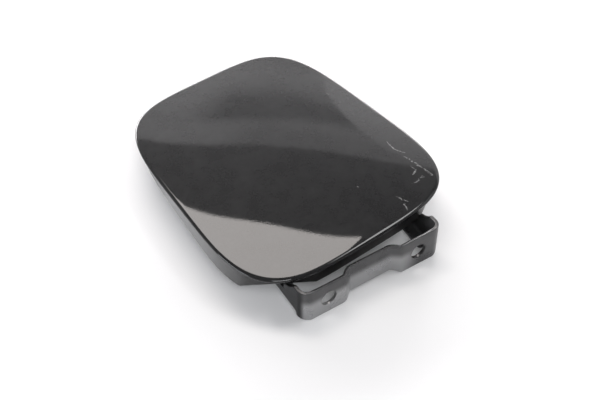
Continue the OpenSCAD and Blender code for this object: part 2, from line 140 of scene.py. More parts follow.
corners = [(x * table_reach, y * table_reach, table_z)
           for x, y in ((-1, -1), (1, -1), (1, 1), (-1, 1))]
table = bpy.data.meshes.new("table_top")
table.from_pydata(corners, [], [(0, 1, 2, 3)])
table_top = bpy.data.objects.new("table_top", table)
bpy.context.scene.collection.objects.link(table_top)
table_top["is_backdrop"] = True
white, tree, surface = material("white_table")
set_inputs(surface, Roughness=0.55, Specular_IOR_Level=0.2)
speckle = noise(tree, 90.0, 4.0)["Fac"]
board = mix_colours(tree, speckle, table_shade, table_white)
feed(tree, surface.inputs["Base Color"], board)
glow = set_inputs(node(tree, "ShaderNodeEmission"), Color=(1, 1, 1, 1))
seen = node(tree, "ShaderNodeLightPath").outputs["Is Camera Ray"]
feed(tree, glow.inputs["Strength"], number(tree, "MULTIPLY", seen, table_lift))
lifted = node(tree, "ShaderNodeAddShader")
clear = node(tree, "ShaderNodeBsdfTransparent")
from_below = node(tree, "ShaderNodeNewGeometry").outputs["Backfacing"]
two_sided = node(tree, "ShaderNodeMixShader")
for target, source in (
        (lifted.inputs[0], surface.outputs[0]), (lifted.inputs[1], glow.outputs[0]),
        (two_sided.inputs[0], from_below), (two_sided.inputs[1], lifted.outputs[0]),
        (two_sided.inputs[2], clear.outputs[0]),
        (tree.nodes["Material Output"].inputs["Surface"], two_sided.outputs[0])):
    tree.links.new(source, target)
table.materials.append(white)

# Light room. The walls and ceiling round the table are what the gloss paint
# mirrors. Each band of them is the part of the room past a straight edge.
room = bpy.data.worlds.new("light_room")
bpy.context.scene.world = room
room.use_nodes = True
tree = room.node_tree
way = node(tree, "ShaderNodeTexCoord").outputs["Generated"]
toward_left = (-0.80, 0.50, -0.33)
window_level = 16.0


def spread(tree, value, start, end, low=0.0, high=1.0, smooth=False):
    """Map the range from start to end onto the range from low to high."""
    made = node(tree, "ShaderNodeMapRange")
    if smooth:
        made.interpolation_type = "SMOOTHSTEP"
    for name, part in (("Value", value), ("From Min", start), ("From Max", end),
                       ("To Min", low), ("To Max", high)):
        feed(tree, made.inputs[name], part)
    return made.outputs["Result"]


def vector(tree, operation, *values):
    """A calculation on vectors."""
    made = node(tree, "ShaderNodeVectorMath", operation=operation)
    for target, value in zip(made.inputs, values):
        feed(tree, target, value)
    return made.outputs["Value" if operation in ("DOT_PRODUCT", "DISTANCE") else "Vector"]


def past_edge(normal, start, end):
    """1 where a direction lies past a straight edge of the room, 0 before it."""
    return spread(tree, vector(tree, "DOT_PRODUCT", way, normal), start, end, smooth=True)


def blend_level(below, above, share):
    """A light level that turns into another one as the share rises."""
    made = node(tree, "ShaderNodeMix", data_type="FLOAT")
    for i, value in ((0, share), (2, below), (3, above)):
        feed(tree, made.inputs[i], value)
    return made.outputs[0]


dim_band = blend_level(0.05, 0.80, past_edge(toward_left, -0.10, -0.005))
light_band = blend_level(0.62, 0.98, past_edge(toward_left, -0.20, -0.01))
level = 0.55
for above, normal, start, end in (
        # upwards from the pale wall at the horizon: a dim slanting band, a lighter
        # one, the bright wall on the right, and the dark ceiling
        (dim_band, (-0.30, -0.43, 0.85), -0.05, 0.02),
        (light_band, (-0.20, -0.56, 0.81), -0.02, 0.03),
        (0.93, (0.81, -0.349, -0.471), -0.006, 0.006),
        (0.12, (-0.361, -0.572, 0.737), -0.022, 0.0),
        # overhead, behind the camera, far right and far left the room is dim
        (0.35, (-0.42, -0.62, 0.66), 0.35, 0.6),
        (0.14, (-0.55, -0.83, 0.0), -0.2, 0.1),
        (0.35, (0.95, -0.30, 0.0), 0.75, 0.95),
        (0.2, (-0.996, 0.087, 0.0), 0.02, 0.12)):
    level = blend_level(level, above, past_edge(normal, start, end))
# a low bright window far behind the object
window_height = number(tree, "MULTIPLY", past_edge((0, 0, 1), 0.10, 0.15),
                       past_edge((0, 0, -1), -0.36, -0.30))
window = number(tree, "MULTIPLY", past_edge((0.30, 0.954, 0.0), 0.72, 0.82), window_height)
shine = set_inputs(node(tree, "ShaderNodeBackground"), Color=(1.0, 0.985, 1.0, 1))
feed(tree, shine.inputs["Strength"], blend_level(level, window_level, window))
feed(tree, tree.nodes["World Output"].inputs["Surface"], shine.outputs[0])

# Studio lamps. Flat softboxes that hang round the table, each facing the door
# from a direction in degrees, azimuth clockwise from the latch end.
lamp_aim = Vector((0, 0.09, 0.01))


def softbox(name, azimuth, elevation, distance, size, level, colour, roll=0, slide=(0, 0)):
    """A flat lamp whose face shines at a given level."""
    a, e, r = math.radians(azimuth), math.radians(elevation), math.radians(roll)
    out = Vector((math.sin(a) * math.cos(e), math.cos(a) * math.cos(e), math.sin(e)))
    across = Vector((math.cos(a), -math.sin(a), 0))
    down = out.cross(across)
    x_axis = across * math.cos(r) + down * math.sin(r)
    y_axis = out.cross(x_axis)
    light = bpy.data.lights.new(name, "AREA")
    light.shape = "RECTANGLE"
    light.size, light.size_y = size
    light.energy = level * math.pi * size[0] * size[1]
    light.color = colour
    lamp = bpy.data.objects.new(name, light)
    bpy.context.scene.collection.objects.link(lamp)
    lamp.location = lamp_aim + out * distance + x_axis * slide[0] + y_axis * slide[1]
    lamp.rotation_mode = "QUATERNION"
    lamp.rotation_quaternion = Matrix((x_axis, y_axis, out)).transposed().to_quaternion()


# the large lamp that shows as the pale patch on the paint
softbox("key_softbox", 28, 62, 1.0, (0.694, 0.25), 6.7, (1.0, 0.95, 0.92), -14.3, (-0.093, -0.035))
# low lamps on the left and right light the table
softbox("left_window", -80, 15, 1.3, (0.8, 0.35), 7.5, (0.92, 0.95, 1.0))
softbox("right_window", 112, 34, 1.3, (0.6, 0.5), 1.0, (0.97, 0.98, 1.0))
# a soft lamp beside the camera reaches the table inside the bracket
softbox("fill_softbox", 205, 50, 1.0, (0.4, 0.35), 6.0, (0.97, 0.98, 1.0))
# a narrow lamp high on the right draws the line along the hinge edge
softbox("rim_softbox", 104, 58, 1.0, (0.5, 0.18), 7.0, (1.0, 1.0, 1.0))

# Outer skin. One steel pressing, softly crowned, rolled over at its edge and
# folded back as a hem. Black under a glossy clear coat, scratched near the
# hinge corner. Sizes of the door's pieces are in millimetres.
door_w, door_l, hinge_gap, door_shift = 132.4, 160.75, 10.75, 1.6
latch_power, hinge_power, door_taper, door_skew, door_turn = 4.2, 4.0, 0.078, 0.042, 2.6
shoulder_z, crown_h, skin_t = 13.0, 4.5, 0.8
edge_r, roll_w, roll_h, hem_drop, hem_w, seam_w = 1.4, 2.3, 1.3, 2.7, 1.4, 0.5
panel_t, seat = 0.8, 0.02
hem_z = shoulder_z - hem_drop
flange_z = hem_z + skin_t + seat
fold_r = (2 * skin_t + panel_t) / 2
grid_n, roll_steps, fold_steps = 96, 14, 8
fold_angle = 40


def rounded_square(angle):
    """Points at each angle on the rounded square of half size 1."""
    c, s = np.cos(angle), np.sin(angle)
    power = np.where(s < 0, hinge_power, latch_power)
    reach = (np.abs(c) ** power + np.abs(s) ** power) ** (-1 / power)
    return c * reach, s * reach


def lay_out(u, v, inset):
    """Turn places on the rounded square into the door's outline, before its turn."""
    x = (door_w / 2 - inset) * u * (1 - door_taper * v)
    return x, (door_l / 2 - inset) * v + door_skew * x


def in_place(x, y, z):
    """Door coordinates in mm to the row frame in metres."""
    a = math.radians(door_turn)
    return np.stack([
        door_shift + x * math.cos(a) - y * math.sin(a),
        hinge_gap + door_l / 2 + x * math.sin(a) + y * math.cos(a),
        z + 0 * x], -1) * MM


# a square grid whose border runs once round the outline
side = np.linspace(-1, 1, grid_n + 1)
gu, gv = np.meshgrid(side, side, indexing="ij")
grid_k = np.maximum(np.abs(gu), np.abs(gv))
grid_a = np.arctan2(gv, gu)
border = [(grid_n, j) for j in range(grid_n)] + [(i, grid_n) for i in range(grid_n, 0, -1)]
border += [(0, j) for j in range(grid_n, 0, -1)] + [(i, 0) for i in range(grid_n)]
border_a = np.array([grid_a[p] for p in border])


def crown(k, angle):
    """Height of the painted face, at a share of the way from middle to shoulder."""
    u, v = rounded_square(angle)
    wide = u * u + v * v
    return shoulder_z + crown_h * (1 - wide * k ** 2 + (wide - 1) * k ** 4)


class Sheet:
    """Collects grids and rings of points into one closed mesh."""

    def __init__(self):
        self.points, self.faces = [], []

    def grid(self, points, flip):
        base = len(self.points)
        self.points.extend(points.reshape(-1, 3).tolist())
        n = points.shape[0]
        for i in range(n - 1):
            for j in range(n - 1):
                a, b = base + i * n + j, base + (i + 1) * n + j
                f = (a, b, b + 1, a + 1)
                self.faces.append(f[::-1] if flip else f)
        return [base + i * n + j for i, j in border]

    def ring(self, points):
        base = len(self.points)
        self.points.extend(points.tolist())
        return list(range(base, base + len(points)))

    def join(self, a, b):
        n = len(a)
        for i in range(n):
            j = (i + 1) % n
            self.faces.append((a[j], a[i], b[i], b[j]))

    def build(self, name, finish):
        mesh = bpy.data.meshes.new(name)
        mesh.from_pydata(self.points, [], self.faces)
        mesh.update()
        return finished(name, mesh, finish)


def finished(name, mesh, finish):
    """Put a mesh in the scene with its material, smooth but for its sharp folds."""
    piece = bpy.data.objects.new(name, mesh)
    bpy.context.scene.collection.objects.link(piece)
    mesh.shade_smooth()
    mesh.set_sharp_from_angle(angle=math.radians(fold_angle))
    mesh.materials.append(finish)
    return piece


def skin_ring(inset, z):
    """A ring of the skin's outline, moved in from its edge, at a height."""
    x, y = lay_out(*rounded_square(border_a), inset)
    return in_place(x, y, z)


def roll_start(angle):
    """How far out along the roll's quarter ellipse the crown meets it without a kink."""
    u, v = rounded_square(border_a)
    x, y = lay_out(u, v, roll_w)
    tx, ty = np.roll(x, -1) - np.roll(x, 1), np.roll(y, -1) - np.roll(y, 1)
    reach = (x * ty - y * tx) / np.hypot(tx, ty)
    wide = u * u + v * v
    slope = crown_h * (4 - 2 * wide) / reach * roll_w / roll_h
    start = roll_w * slope / np.sqrt(1 + slope ** 2)
    return np.interp(angle, border_a, start, period=2 * math.pi)


def roll_height(out):
    """Height of the roll's outer face over its end, at a distance from its start."""
    return roll_h * np.sqrt(np.maximum(1 - (out / roll_w) ** 2, 0))


def crowned_grid(below):
    """The crowned face up to the roll, or its inner face a sheet's thickness below."""
    x, y = lay_out(*rounded_square(grid_a), roll_w - roll_start(grid_a))
    return in_place(x * grid_k, y * grid_k, crown(grid_k, grid_a) - below)


# the sheet's section as inset and height: the roll, the fold, the hem's end and back inside
start = roll_start(border_a)
profile = []
for step in range(1, roll_steps + 1):
    out = start + (roll_w - start) * math.sin(math.pi / 2 * step / roll_steps)
    profile.append((roll_w - out, shoulder_z - roll_height(start) + roll_height(out)))
profile.append((0, hem_z + fold_r))
for step in range(1, fold_steps + 1):
    a = math.pi / 2 * step / fold_steps
    profile.append((fold_r * (1 - math.cos(a)), hem_z + fold_r * (1 - math.sin(a))))
profile += [(hem_w - 0.1, hem_z), (hem_w, hem_z + 0.1), (hem_w, hem_z + skin_t)]
for a in (90, 45, 0):
    r, t = fold_r - skin_t, math.radians(a)
    profile.append((fold_r - r * math.cos(t), hem_z + fold_r - r * math.sin(t)))
for a in (0, 30, 60):
    r, t = edge_r - skin_t, math.radians(a)
    profile.append((edge_r - r * math.cos(t), shoulder_z - edge_r - 0.25 + r * math.sin(t)))
skin = Sheet()
last = skin.grid(crowned_grid(0), False)
for inset, z in profile:
    this = skin.ring(skin_ring(inset, z))
    skin.join(last, this)
    last = this
skin.join(last, skin.grid(crowned_grid(skin_t), True))

# scratches and two specks: start and end on the face, and width, in millimetres
scratch_lines = (
    (54.9, 64.3, 55.0, 59.4, 0.5), (55.0, 59.4, 56.0, 55.0, 0.6), (56.0, 55.0, 58.4, 52.1, 0.5),
    (55.9, 50.4, 57.9, 44.0, 0.4), (57.9, 44.0, 59.3, 35.7, 0.6), (59.3, 35.7, 60.4, 30.5, 0.6),
    (54.6, 41.3, 55.4, 37.9, 0.4), (55.4, 37.9, 51.3, 35.7, 0.4), (55.6, 32.4, 49.8, 30.8, 0.5),
    (49.8, 30.8, 46.7, 31.2, 0.5), (33.7, 27.1, 36.8, 21.6, 0.4), (34.4, 21.1, 33.2, 17.6, 0.6),
    (51.7, 117.0, 52.1, 116.6, 0.7), (20.1, 43.9, 20.6, 43.4, 0.7))
dull_spot = (-50.3, 89.7, -47.8, 88.7, 5.0)
paint_black, paint_haze = (0.004, 0.004, 0.0045, 1), (0.0135, 0.0135, 0.014, 1)
bare_scratch, rubbed_black = (0.30, 0.30, 0.30, 1), (0.0, 0.0, 0.0, 1)
coat_loss, peel_depth = 0.6, 2.4e-6
waver_reach = 0.003


def make_scratch():
    """Shader group: 1 along a thin, broken, wavering line between two points, 0 elsewhere."""
    group = bpy.data.node_groups.new("scratch", "ShaderNodeTree")
    for name, kind in (("Start", "Vector"), ("End", "Vector"), ("Width", "Float")):
        group.interface.new_socket(name, in_out="INPUT", socket_type="NodeSocket" + kind)
    group.interface.new_socket("Mark", in_out="OUTPUT", socket_type="NodeSocketFloat")
    into, out = node(group, "NodeGroupInput"), node(group, "NodeGroupOutput")
    here = node(group, "ShaderNodeTexCoord").outputs["Object"]
    waver = noise(group, 500.0, 2.0, here)["Color"]
    swing = vector(group, "SUBTRACT", waver, (0.5, 0.5, 0.5))
    swing = vector(group, "MULTIPLY", swing, (waver_reach, waver_reach, 0.0))
    spot = vector(group, "MULTIPLY", vector(group, "ADD", here, swing), (1.0, 1.0, 0.0))
    line = vector(group, "SUBTRACT", into.outputs["End"], into.outputs["Start"])
    reach = vector(group, "SUBTRACT", spot, into.outputs["Start"])
    share = node(group, "ShaderNodeClamp")
    feed(group, share.inputs["Value"],
         number(group, "DIVIDE", vector(group, "DOT_PRODUCT", reach, line),
                vector(group, "DOT_PRODUCT", line, line)))
    nearest = node(group, "ShaderNodeVectorMath", operation="SCALE")
    feed(group, nearest.inputs[0], line)
    feed(group, nearest.inputs["Scale"], share.outputs[0])
    away = vector(group, "DISTANCE", reach, nearest.outputs[0])
    fade = spread(group, away, 0.0, into.outputs["Width"], 1.0, 0.0)
    gaps = spread(group, noise(group, 900.0, 3.0, here)["Fac"], 0.40, 0.60)
    feed(group, out.inputs["Mark"], number(group, "MULTIPLY", fade, gaps))
    return group


def relief(tree, target, height, depth):
    """Raise a surface by a pattern, to a depth in metres."""
    made = set_inputs(node(tree, "ShaderNodeBump"), Strength=1.0, Distance=depth)
    feed(tree, made.inputs["Height"], height)
    feed(tree, target, made.outputs["Normal"])


scratch = make_scratch()
paint, tree, surface = material("black_clear_coat")
set_inputs(surface, Roughness=0.45, Specular_IOR_Level=0.08, Coat_Roughness=0.02, Coat_IOR=1.5)
here = node(tree, "ShaderNodeTexCoord").outputs["Object"]


def line_mark(x1, y1, x2, y2, width):
    """The mask of one line on the face."""
    made = node(tree, "ShaderNodeGroup", node_tree=scratch)
    set_inputs(made, Start=(x1 * MM, y1 * MM, 0), End=(x2 * MM, y2 * MM, 0), Width=width * MM)
    return made.outputs["Mark"]


haze = spread(tree, noise(tree, 70.0, 9.0, here, 0.75)["Fac"], 0.36, 0.66)
marks = line_mark(*scratch_lines[0])
for line in scratch_lines[1:]:
    marks = number(tree, "MAXIMUM", marks, line_mark(*line))
dull = line_mark(*dull_spot)
colour = mix_colours(tree, haze, paint_black, paint_haze)
colour = mix_colours(tree, dull, colour, rubbed_black)
colour = mix_colours(tree, marks, colour, bare_scratch)
feed(tree, surface.inputs["Base Color"], colour)
feed(tree, surface.inputs["Coat Weight"], number(tree, "MULTIPLY_ADD", dull, -coat_loss, 1.0))
relief(tree, surface.inputs["Coat Normal"], noise(tree, 1400.0, 2.0, here)["Fac"], peel_depth)

outer_skin = skin.build("painted_skin", paint)
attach(outer_skin, "door")
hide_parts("outer_skin")

# Inner pan. The pressed steel pan that stiffens the door: its wall shows as a
# strip under the hem, and its floor carries a raised recess and drain holes.
# It is left in grey primer; painted shade darkens it to near black at the hinge end,
# where the bracket shades it, and it darkens again towards the latch end.
panel_drop, wall_inset, end_step = 12.2, hem_w + seam_w, 0.6
floor_flare, floor_taper = 0.015, 0.045
cut_angle, cut_depth, floor_r = math.radians(32), 2.0, 1.2
recess_w, recess_l, recess_h, recess_y, recess_slope = 88.0, 62.0, 7.0, 101.0, 6.0
drain_d, drain_gap, drill_depth = 7.0, 8.0, 4
bend_steps, inner_steps = 8, 5
floor_z = shoulder_z - panel_drop
door_y = hinge_gap + door_l / 2
cut_power = hinge_power / (hinge_power - 1)
cut_reach = (((door_w / 2 - wall_inset) * math.sin(cut_angle)) ** cut_power
             + ((door_l / 2 - wall_inset) * math.cos(cut_angle)) ** cut_power
             ) ** (1 / cut_power) - cut_depth


def pan_outline(angle, inset, low):
    """The pan's outline in door coordinates, spreading from flange to floor, corners cut."""
    u, v = rounded_square(angle)
    wider = 1 + (floor_flare - floor_taper * v) * low
    x, y = lay_out(u * wider, v * (1 - end_step / (door_l / 2 - inset)), inset)
    out_reach = np.where(x < 0, -1, 1) * x * math.sin(cut_angle) - y * math.cos(cut_angle)
    pull = np.minimum(1, (cut_reach + wall_inset - inset) / np.maximum(out_reach, 1))
    return x * pull, y * pull


def recess_rise(x, y):
    """Height of the pressed recess over the pan's floor at door coordinates."""
    corner = recess_l / 5
    dx = np.abs(x) - (recess_w / 2 - corner)
    dy = np.abs(y - (recess_y - door_y)) - (recess_l / 2 - corner)
    gap = (np.hypot(np.maximum(dx, 0), np.maximum(dy, 0))
           + np.minimum(np.maximum(dx, dy), 0) - corner)
    t = np.clip(-gap / recess_slope, 0, 1)
    return recess_h * t * t * (3 - 2 * t)


def pan_floor(lift):
    """The pan's floor with its recess, on the sheet's lower or upper face."""
    x, y = pan_outline(grid_a, wall_inset + floor_r, 1)
    x, y = x * grid_k, y * grid_k
    return in_place(x, y, floor_z + lift + recess_rise(x, y))


# rings as inset, height and share of the spread: up the outside, then down the inside
outside, inside = [], []
for step in range(1, bend_steps + 1):
    a = math.pi / 2 * (1 - step / bend_steps)
    outside.append((wall_inset + floor_r * (1 - math.cos(a)),
                    floor_z + floor_r * (1 - math.sin(a)), 1))
outside.append((wall_inset, flange_z, 0))
wall_top = flange_z + panel_t
inside.append((wall_inset + panel_t, wall_top, 0))
for step in range(inner_steps):
    a = math.pi / 2 * step / inner_steps
    r = floor_r - panel_t
    inside.append((wall_inset + floor_r - r * math.cos(a), floor_z + floor_r - r * math.sin(a), 1))
pan = Sheet()
last = pan.grid(pan_floor(0), True)
rings = [in_place(*pan_outline(border_a, inset, low), z) for inset, z, low in outside]
rings += [skin_ring(fold_r + 0.2, z) for z in (flange_z, wall_top)]
rings += [in_place(*pan_outline(border_a, inset, low), z) for inset, z, low in inside]
for points in rings:
    this = pan.ring(points)
    pan.join(this, last)
    last = this
pan.join(pan.grid(pan_floor(panel_t), False), last)


def cut_round(piece, centre, radius, depth):
    """Drill a round hole along Z through a mesh piece."""
    bpy.ops.mesh.primitive_cylinder_add(vertices=40, radius=radius * MM, depth=depth * MM,
                                        location=centre)
    drill = bpy.context.active_object
    cut = piece.modifiers.new("hole", "BOOLEAN")
    cut.operation = "DIFFERENCE"
    cut.solver = "EXACT"
    cut.object = drill
    bpy.context.view_layer.objects.active = piece
    bpy.ops.object.modifier_apply(modifier=cut.name)
    bpy.data.objects.remove(drill)


# the primer's tone at distances in metres from the hinge end: painted shade near black there,
# darker again at the latch end
primer_and_painted_shade_tones = ((0.012, 0.012), (0.03, 0.06), (0.06, 0.19), (0.10, 0.27), (0.13, 0.10),
                    (0.155, 0.04))
shade_ramp_reach, shade_waver, dust_depth = 0.2, 0.06, 1e-5
primer, tree, surface = material("grey_primer")
set_inputs(surface, Roughness=0.35, Specular_IOR_Level=0.5)
here = node(tree, "ShaderNodeTexCoord").outputs["Object"]
parts = node(tree, "ShaderNodeSeparateXYZ")
feed(tree, parts.inputs[0], here)
dust_and_shade_waver = noise(tree, 350.0, 6.0, here)["Fac"]
# the painted shade over the primer, its edge wavered a little by the dust pattern
primer_shade_ramp = node(tree, "ShaderNodeValToRGB")
ends = zip(primer_shade_ramp.color_ramp.elements, (primer_and_painted_shade_tones[0], primer_and_painted_shade_tones[-1]))
for element, (place, shade) in ends:
    element.color = (shade, shade, shade, 1)
    element.position = place / shade_ramp_reach
for place, shade in primer_and_painted_shade_tones[1:-1]:
    element = primer_shade_ramp.color_ramp.elements.new(place / shade_ramp_reach)
    element.color = (shade, shade, shade, 1)
along = number(tree, "MULTIPLY", parts.outputs["Y"], 1 / shade_ramp_reach)
drift = number(tree, "MULTIPLY_ADD", dust_and_shade_waver, shade_waver, -shade_waver / 2)
feed(tree, primer_shade_ramp.inputs["Fac"], number(tree, "ADD", along, drift))
feed(tree, surface.inputs["Base Color"], primer_shade_ramp.outputs["Color"])
relief(tree, surface.inputs["Normal"], dust_and_shade_waver, dust_depth)

inner_pan = pan.build("inner_pan", primer)
for x in (-1, 1):
    for y in (-1, 1):
        spot = in_place(np.array(x * (recess_w / 2 + drain_gap)),
                        np.array(recess_y - door_y + y * recess_l / 2), floor_z)
        cut_round(inner_pan, Vector(spot), drain_d / 2, drill_depth)
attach(inner_pan, "door")
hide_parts("inner_panel")

# Hinge bracket. One steel stamping bent into a U: the web with its two bolt
# pads stands out in front of the door, the arms run back under it to the pin.
# Satin black electrocoat over the whole sheet, cut edges included.
bracket_w, bracket_h, sheet_t, bend_r = 87.0, 20.0, 2.0, 6.0
bolt_span, bolt_d, joggle, pad_gap, web_relief = 56.0, 9.0, 3.6, 17.0, 1.8
joggle_foot, joggle_tilt, joggle_r = 5.6, 40.0, 3.4
arm_l, arm_end_r, lip_w, lip_r = 37.0, 4.0, 8.5, 3.6
roll_from, web_roll_r = 3.0, 14.0
pin_z, pin_r = -3.6, 2.0
bottom_z, top_z = -bracket_h / 2, bracket_h / 2
arm_x = bracket_w / 2


def swept_path():
    """The sheet's outer face in plan from the middle of the web to an arm's end:
    rows of distance along it, X, Y and the heading of the path."""
    s, x, y, heading = 0.0, 0.0, joggle, 0.0
    rows = [(s, x, y, heading)]

    def walk(length, bend, steps):
        nonlocal s, x, y, heading
        for _ in range(steps):
            heading += math.radians(bend) / steps / 2
            x += math.cos(heading) * length / steps
            y += math.sin(heading) * length / steps
            heading += math.radians(bend) / steps / 2
            s += length / steps
            rows.append((s, x, y, heading))

    tilt = math.radians(joggle_tilt)
    arc = tilt * joggle_r
    fall = 2 * joggle_r * (1 - math.cos(tilt))
    walk(pad_gap - joggle_foot, 0, 4)
    walk(arc, -joggle_tilt, 6)
    walk(max(joggle - fall, 0.01) / math.sin(tilt), 0, 1)
    walk(arc, joggle_tilt, 6)
    walk(arm_x - bend_r - x, 0, 8)
    walk(bend_r * math.pi / 2, 90, 14)
    walk(arm_l + arm_end_r - y, 0, 12)
    return np.array(rows)


path = swept_path()
length = path[-1, 0]
bend_end = length - (arm_l + arm_end_r - bend_r)
bend_start = bend_end - bend_r * math.pi / 2
lip_start, lip_end = bend_end + 1, bend_end + (arm_l - 3 * arm_end_r - bend_r)
lip_start_z, lip_end_z = bottom_z + 1, pin_z - arm_end_r + 0.8
fold_s = np.array([0, bend_end, lip_start, lip_end, length])
fold_z = np.array([bottom_z, lip_start_z - 0.1, lip_start_z, lip_end_z, lip_end_z])


def along_sheet(s):
    """Plan position and inward direction of the sheet's outer face at a distance."""
    side_of = np.where(s < 0, -1.0, 1.0)
    d = np.abs(s)
    x, y, h = (np.interp(d, path[:, 0], path[:, i]) for i in (1, 2, 3))
    return side_of * x, y, -np.sin(h) * side_of, np.cos(h)


def fold_sheet(points):
    """Bend the flat blank: first the lips, then the web's top lean, then the U."""
    s, t, w = points[:, 0], points[:, 1], points[:, 2]
    d = np.abs(s)
    # lips: below the arm's lower edge line the sheet curls inwards
    edge = np.interp(d, fold_s, fold_z)
    arc = lip_r * math.pi / 2
    below = np.maximum(edge + lip_r - t, 0) * (d > lip_start - 0.5)
    a = np.minimum(below, arc) / lip_r
    beyond = np.maximum(below - arc, 0)
    r = lip_r - w
    inward = np.where(below > 0, lip_r - r * np.cos(a) + beyond * np.sin(a), w)
    height = np.where(below > 0, edge + lip_r - r * np.sin(a), t)
    # the web's upper part is rolled back a little
    curve = np.clip((bend_start + 5 - d) / 9, 0, 1) / web_roll_r + 1e-6
    turned = curve * np.maximum(height - roll_from, 0)
    height = np.minimum(height, roll_from) + np.sin(turned) * (1 / curve - inward)
    inward = inward * np.cos(turned) + (1 - np.cos(turned)) / curve
    x, y, nx, ny = along_sheet(s)
    return np.stack([x + nx * inward, y + ny * inward, height], -1) * MM


def arc_points(cx, cy, r, start, end, steps):
    """Points along an arc, from one angle to another in degrees."""
    angles = [math.radians(start + (end - start) * i / steps) for i in range(steps + 1)]
    return [(cx + r * math.cos(a), cy + r * math.sin(a)) for a in angles]


def blank_outline():
    """The right half of the flat blank's outline, from the middle of the top edge round
    to the middle of the bottom edge."""
    neck = bend_end + (hinge_gap + wall_inset + end_step + 5 - bend_r)
    arm_top = pin_z + arm_end_r
    end_c = length - arm_end_r
    right = [(0, top_z - 0.8), (bend_start - 4, top_z - 0.8), (bend_start + 3, top_z - 0.2)]
    # the step down from the web's height to the arm
    right += [(neck - back, top_z - down) for back, down in (
        (10, 0), (9.2, 0.1), (8.4, 0.6), (7.7, 1.5), (6, 3.1), (4, 4.25), (1.4, 5.1), (0.7, 5.9))]
    right += [(neck - 0.2, arm_top + 0.8), (neck + 0.6, arm_top)]
    right += arc_points(end_c, pin_z, arm_end_r, 90, -90 + 12, 14)
    right += [(end_c - 3.2, lip_end_z), (lip_end + 1.2, lip_end_z)]
    # the lip, as long as it is before it is curled
    curl = lip_r * math.pi / 2 - lip_r + lip_w - lip_r
    start_low, end_low = lip_start_z - curl, lip_end_z - curl
    right += [(lip_end, lip_end_z - 1.0), (lip_end, end_low + 2)]
    right += arc_points(lip_end - 2, end_low + 2, 2, 0, -80, 5)
    right += [(lip_start + 2, start_low)]
    right += arc_points(lip_start + 2, start_low + 2, 2, -95, -175, 5)
    right += [(lip_start, lip_start_z - 0.5), (lip_start - 0.4, lip_start_z + 0.1)]
    # the web's lower edge, cut back between the pads
    s_pad = float(np.interp(pad_gap, path[:, 1], path[:, 0]))
    right += [(bend_start + 5, bottom_z + 0.5), (bend_start + 1, bottom_z),
              (s_pad + 2.5, bottom_z), (s_pad + 0.8, bottom_z + 0.25),
              (s_pad - 2.0, bottom_z + web_relief - 0.25),
              (s_pad - 4.0, bottom_z + web_relief), (0, bottom_z + web_relief)]
    return right


def plate(name, rings, thick, edge, flat_cuts):
    """A flat plate with rounded edges from closed outlines, sliced so that it can bend."""
    curve = bpy.data.curves.new(name, "CURVE")
    curve.dimensions = "2D"
    curve.fill_mode = "BOTH"
    curve.extrude = thick / 2 - edge
    curve.bevel_depth = edge
    curve.bevel_resolution = 2
    curve.offset = -edge
    for ring in rings:
        spline = curve.splines.new("POLY")
        spline.points.add(len(ring) - 1)
        for point, (x, y) in zip(spline.points, ring):
            point.co = (x, y, 0, 1)
        spline.use_cyclic_u = True
    holder = bpy.data.objects.new(name, curve)
    bpy.context.scene.collection.objects.link(holder)
    bpy.context.view_layer.update()
    shaped = holder.evaluated_get(bpy.context.evaluated_depsgraph_get())
    mesh = bpy.data.meshes.new_from_object(shaped)
    bpy.data.objects.remove(holder)
    work = bmesh.new()
    work.from_mesh(mesh)
    bmesh.ops.remove_doubles(work, verts=work.verts, dist=1e-4)
    for axis, places in flat_cuts:
        for at in places:
            point, normal = [0, 0, 0], [0, 0, 0]
            point[axis], normal[axis] = at, 1
            bmesh.ops.bisect_plane(work, geom=work.verts[:] + work.edges[:] + work.faces[:],
                                   dist=1e-5, plane_co=point, plane_no=normal)
    bmesh.ops.recalc_face_normals(work, faces=work.faces)
    work.to_mesh(mesh)
    work.free()
    return mesh


right = blank_outline()
left = [(-x, y) for x, y in right[::-1]]
holes = []
for x in (-1, 1):
    s_hole = float(np.interp(bolt_span / 2, path[:, 1], path[:, 0])) * x
    holes.append(arc_points(s_hole, 0, bolt_d / 2, 0, 360, 40)[:-1])
    holes.append(arc_points(x * (length - arm_end_r), pin_z, pin_r + 0.05, 0, 360, 24)[:-1])
bend_cuts = sorted(set(np.round(path[:, 0], 3)) | set(np.round(-path[:, 0], 3)))
lip_cuts = np.arange(-22, 9.9, 1.0)
blank = plate("bracket_blank", [right + left] + holes, sheet_t, 0.3,
              [(0, bend_cuts[1:-1]), (1, lip_cuts)])
flat = np.array([v.co for v in blank.vertices])
flat[:, 2] += sheet_t / 2
blank.vertices.foreach_set("co", fold_sheet(flat).ravel())
# folding leaves the sheet inside out, so its faces are turned round
blank.flip_normals()


def make_mottle():
    """Shader group: soft patches and a fine grain over a piece, sized in metres."""
    group = bpy.data.node_groups.new("mottle", "ShaderNodeTree")
    for name, value in (("Patch Size", 0.01), ("Grain Size", 0.001)):
        socket = group.interface.new_socket(name, in_out="INPUT", socket_type="NodeSocketFloat")
        socket.default_value = value
    for name in ("Patches", "Grain"):
        group.interface.new_socket(name, in_out="OUTPUT", socket_type="NodeSocketFloat")
    into, out = node(group, "NodeGroupInput"), node(group, "NodeGroupOutput")
    here = node(group, "ShaderNodeTexCoord").outputs["Object"]
    for size, result, detail in (("Patch Size", "Patches", 5.0), ("Grain Size", "Grain", 3.0)):
        scale = number(group, "DIVIDE", 1.0, into.outputs[size])
        pattern = noise(group, scale, detail, here)["Fac"]
        feed(group, out.inputs[result], spread(group, pattern, 0.3, 0.7))
    return group


mottle = make_mottle()


